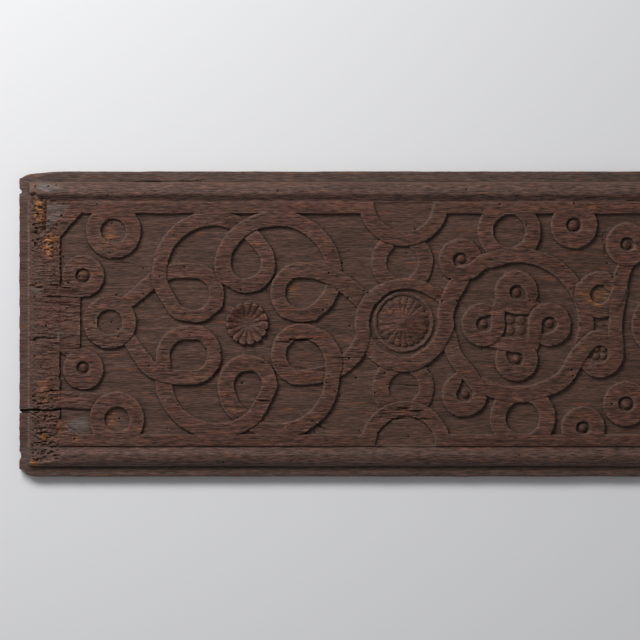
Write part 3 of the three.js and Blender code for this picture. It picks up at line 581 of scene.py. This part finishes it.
BACK_CELL_X = 24.0
BACK_CELL_Y = 8.0
mesh = bmesh.new()
mesh.from_mesh(board.data)
border = [e for e in mesh.edges if e.is_boundary]
for vertex in {v for e in border for v in e.verts}:
    vertex.co.z = 0
back = bmesh.ops.edgenet_fill(mesh, edges=border)["faces"]
cells = list(back) + list({e for f in back for e in f.edges}) + list({v for f in back for v in f.verts})
for count, size, axis in ((int(2 * HALF_LENGTH / BACK_CELL_X), BACK_CELL_X, (1, 0, 0)),
                          (int(2 * HALF_WIDTH / BACK_CELL_Y), BACK_CELL_Y, (0, 1, 0))):
    for i in range(1, count):
        place = (i - count / 2) * size / 1000
        cells = bmesh.ops.bisect_plane(mesh, geom=cells, plane_co=(axis[0] * place, axis[1] * place, 0),
                                       plane_no=axis)["geom"]
for vertex in [g for g in cells if isinstance(g, bmesh.types.BMVert)]:
    if all(all(v.co.z < 0.0005 for v in f.verts) for f in vertex.link_faces):
        x, y = vertex.co.x * 1000, vertex.co.y * 1000
        flute = abs(math.sin((y + 0.03 * x) / 34 * math.pi)) * 0.5
        vertex.co.z = (flute + 0.2 + 0.2 * math.sin(x / 47) * math.sin(y / 13)) / 1000
bmesh.ops.triangulate(mesh, faces=[f for f in mesh.faces if len(f.verts) > 4])
bmesh.ops.recalc_face_normals(mesh, faces=mesh.faces)
mesh.to_mesh(board.data)
mesh.free()
bpy.ops.object.shade_smooth_by_angle(angle=math.radians(50))

flat = np.empty(len(board.data.vertices) * 3)
board.data.vertices.foreach_get("co", flat)
points = flat.reshape(-1, 3) * 1000
on_face = (points[:, 2] > sample(levels, points[:, 0], points[:, 1]) - 2.0).astype(float)
for name, marks in MARKS.items():
    layer = board.data.attributes.new(name, "FLOAT", "POINT")
    layer.data.foreach_set("value", (sample(marks, points[:, 0], points[:, 1]) * on_face).astype(np.float32))


# Old oak, once waxed: dark brown, redder to the right and greyer at the worn end, streaked along
# the grain, pale on the rubbed arrises with a painted highlight on the steep walls, darkened by painted shade in the
# hollows and flight holes, orange where it crumbles.
def node(tree, kind, inputs=(), **settings):
    made = tree.nodes.new(kind)
    for name, value in settings.items():
        setattr(made, name, value)
    for socket, value in dict(inputs).items():
        if isinstance(value, bpy.types.NodeSocket):
            tree.links.new(value, made.inputs[socket])
        else:
            made.inputs[socket].default_value = value
    return made


def stretched_noise(tree, where, scale, detail=2.0, roughness=0.5, distortion=0.0):
    placed = node(tree, "ShaderNodeMapping", {"Vector": where, "Scale": scale})
    return node(tree, "ShaderNodeTexNoise", {"Vector": placed.outputs["Vector"], "Scale": 1.0, "Detail": detail,
                                             "Roughness": roughness, "Distortion": distortion}).outputs["Fac"]


def ramp(tree, value, stops):
    made = node(tree, "ShaderNodeValToRGB", {"Fac": value})
    made.color_ramp.elements[0].position = stops[0][0]
    made.color_ramp.elements[0].color = (*stops[0][1], 1)
    made.color_ramp.elements[1].position = stops[-1][0]
    made.color_ramp.elements[1].color = (*stops[-1][1], 1)
    for position, colour in stops[1:-1]:
        made.color_ramp.elements.new(position).color = (*colour, 1)
    return made.outputs["Color"]


def blended(tree, amount, first, second, how="MIX"):
    made = node(tree, "ShaderNodeMix", data_type="RGBA", blend_type=how)
    for socket, value in zip((made.inputs[0], made.inputs[6], made.inputs[7]), (amount, first, second)):
        if isinstance(value, bpy.types.NodeSocket):
            tree.links.new(value, socket)
        elif isinstance(value, tuple):
            socket.default_value = (*value, 1)
        else:
            socket.default_value = value
    return made.outputs[2]


def maths(tree, how, first, second=0.0, clamp=False):
    return node(tree, "ShaderNodeMath", {0: first, 1: second}, operation=how, use_clamp=clamp).outputs[0]


def scaled(tree, value, low_in, high_in, low_out, high_out):
    return node(tree, "ShaderNodeMapRange", {0: value, 1: low_in, 2: high_in, 3: low_out, 4: high_out}).outputs[0]


def mark_of(tree, name, amount=1.0):
    value = node(tree, "ShaderNodeAttribute", attribute_name=name).outputs["Fac"]
    return maths(tree, "MULTIPLY", value, amount, clamp=True)


oak = bpy.data.materials.new("old_oak")
oak.use_nodes = True
tree = oak.node_tree
tree.nodes.clear()
where = node(tree, "ShaderNodeTexCoord").outputs["Object"]
dashes = stretched_noise(tree, where, (85, 620, 620), 2, 0.6, 0.15)
fibres = stretched_noise(tree, where, (30, 1100, 1100), 2, 0.6, 0.1)
streaks = stretched_noise(tree, where, (10, 150, 150), 3, 0.6, 0.4)
patches = stretched_noise(tree, where, (9, 18, 18), 3, 0.6)
rust = stretched_noise(tree, where, (26, 160, 160), 2, 0.5, 0.2)
on_strap = mark_of(tree, "strap")
red_oak = ramp(tree, streaks, [(0.30, (0.052, 0.0190, 0.0115)), (0.5, (0.086, 0.0345, 0.0225)),
                               (0.70, (0.125, 0.0520, 0.0345))])
dull_oak = ramp(tree, streaks, [(0.30, (0.050, 0.0250, 0.0165)), (0.5, (0.073, 0.0365, 0.0255)),
                                (0.70, (0.095, 0.0510, 0.0380))])
wood = blended(tree, scaled(tree, on_strap, 0, 1, 0.15, 0.85), dull_oak, red_oak)
wood = blended(tree, scaled(tree, patches, 0.45, 0.65, 0, 0.5), wood, (0.084, 0.0440, 0.0290))
wood = blended(tree, scaled(tree, rust, 0.60, 0.74, 0, 0.55), wood, (0.190, 0.064, 0.026))
cracked = ramp(tree, dashes, [(0.30, (0.16, 0.14, 0.13)), (0.40, (0.62, 0.60, 0.59)), (0.52, (1.0, 1.0, 1.0)),
                              (0.70, (1.7, 1.68, 1.66))])
smooth = ramp(tree, dashes, [(0.30, (0.60, 0.59, 0.58)), (0.5, (1.0, 1.0, 1.0)), (0.70, (1.4, 1.4, 1.4))])
wood = blended(tree, 1.0, wood, blended(tree, on_strap, smooth, cracked), "MULTIPLY")
fibre_tone = ramp(tree, fibres, [(0.3, (0.66, 0.65, 0.64)), (0.5, (1.0, 1.0, 1.0)), (0.7, (1.35, 1.35, 1.35))])
wood = blended(tree, 1.0, wood, fibre_tone, "MULTIPLY")
grey_oak = ramp(tree, dashes, [(0.3, (0.070, 0.050, 0.042)), (0.5, (0.125, 0.092, 0.080)), (0.7, (0.20, 0.158, 0.142))])
wood = blended(tree, mark_of(tree, "greyed", 0.75), wood, grey_oak)
# paler rubbed arrises, plus the painted highlight on the steep walls
wood = blended(tree, mark_of(tree, "arris_wear_and_highlight", 0.42), wood, (0.220, 0.140, 0.108))
crumbling = ramp(tree, dashes, [(0.32, (0.050, 0.015, 0.004)), (0.5, (0.22, 0.080, 0.024)), (0.7, (0.56, 0.27, 0.10))])
wood = blended(tree, mark_of(tree, "crumble"), wood, crumbling)
# painted shade darkening the hollows and the feet of the walls
wood = blended(tree, mark_of(tree, "crease_shade", 0.6), wood, (0.012, 0.0075, 0.006))
# painted shade: the flight holes painted near black
wood = blended(tree, mark_of(tree, "hole_shade"), wood, (0.002, 0.0015, 0.001))
gloss = scaled(tree, dashes, 0.3, 0.7, 0.66, 0.50)
gloss = maths(tree, "ADD", gloss, mark_of(tree, "crease_shade", 0.25), clamp=True)
relief = maths(tree, "ADD", maths(tree, "MULTIPLY", dashes, 0.75), maths(tree, "MULTIPLY", fibres, 0.25))
raised = node(tree, "ShaderNodeBump", {"Strength": 0.9, "Distance": 0.0014, "Height": relief}).outputs[0]
surface = node(tree, "ShaderNodeBsdfPrincipled", {"Base Color": wood, "Roughness": gloss, "Normal": raised,
                                                  "Specular IOR Level": 0.25})
node(tree, "ShaderNodeOutputMaterial", {"Surface": surface.outputs[0]})
board.data.materials.clear()
board.data.materials.append(oak)

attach(board, "root")
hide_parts("carved_panel")

# The studio: a pale floor that the board lies on, one large soft light from the top left, pale air.
bpy.ops.mesh.primitive_plane_add(size=14, location=(0, 0, -0.0005))
floor = bpy.context.active_object
floor.name = "floor"
pale = bpy.data.materials.new("pale_floor")
pale.use_nodes = True
pale.node_tree.nodes["Principled BSDF"].inputs["Base Color"].default_value = (0.80, 0.80, 0.81, 1)
pale.node_tree.nodes["Principled BSDF"].inputs["Roughness"].default_value = 0.9
floor.data.materials.append(pale)

light = bpy.data.lights.new("window", "AREA")
light.shape = "RECTANGLE"
light.size = 1.5
light.size_y = 1.0
light.energy = 60
lamp = bpy.data.objects.new("window", light)
bpy.context.collection.objects.link(lamp)
LIGHT_DISTANCE = 2.6
towards = np.array((-0.55, 0.75, 0.88))
place = towards / np.linalg.norm(towards) * LIGHT_DISTANCE
lamp.location = place
lamp.rotation_euler = (math.atan2(math.hypot(place[0], place[1]), place[2]), 0, math.atan2(place[0], -place[1]))
world = bpy.data.worlds.new("pale_air")
world.use_nodes = True
world.node_tree.nodes["Background"].inputs["Color"].default_value = (0.96, 0.97, 1.0, 1)
world.node_tree.nodes["Background"].inputs["Strength"].default_value = 0.25
bpy.context.scene.world = world
bpy.context.scene.view_settings.view_transform = "Standard"

# The camera looks straight down on the lying board, framed as the photograph: 1.3 mm to a pixel.
PIXEL = 0.0013
PHOTO_SIDE = 640
FACE_LEVEL = 0.0225
CAMERA_HEIGHT = 5.0
camera_data = bpy.data.cameras.new("camera")
camera_data.sensor_width = 36
camera_data.lens = 36 * (CAMERA_HEIGHT - FACE_LEVEL) / (PHOTO_SIDE * PIXEL)
camera = bpy.data.objects.new("camera", camera_data)
camera.location = ((320 - 331.5) * PIXEL, (324 - 320) * PIXEL, CAMERA_HEIGHT)
bpy.context.collection.objects.link(camera)
bpy.context.scene.camera = camera
